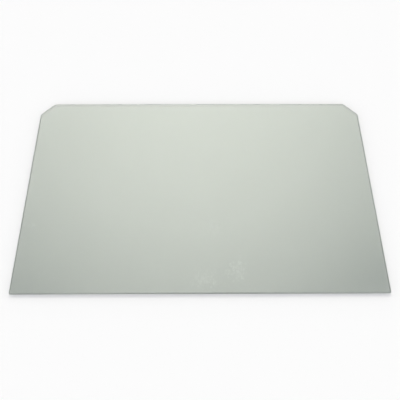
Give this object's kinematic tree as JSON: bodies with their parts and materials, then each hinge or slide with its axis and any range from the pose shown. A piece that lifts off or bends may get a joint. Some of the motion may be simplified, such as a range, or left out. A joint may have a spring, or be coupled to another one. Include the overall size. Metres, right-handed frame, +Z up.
{
  "type": "fridge crisper cover",
  "caption": "Flat toughened-glass cover for a fridge's vegetable drawer: a plain wide sheet with ground edges, its back corners cut off diagonally.",
  "frame": {"origin": "centre of the underside", "axes": "+X to the right along the front edge, +Y to the back edge, between the corner cuts, +Z up out of the top face"},
  "size_m": [0.475, 0.3, 0.004],
  "materials": {
    "glass": "polished float faces, flat-ground edge with arrises"
  },
  "bodies": {
    "root": {"glass_sheet": "glass"}
  },
  "joints": []
}
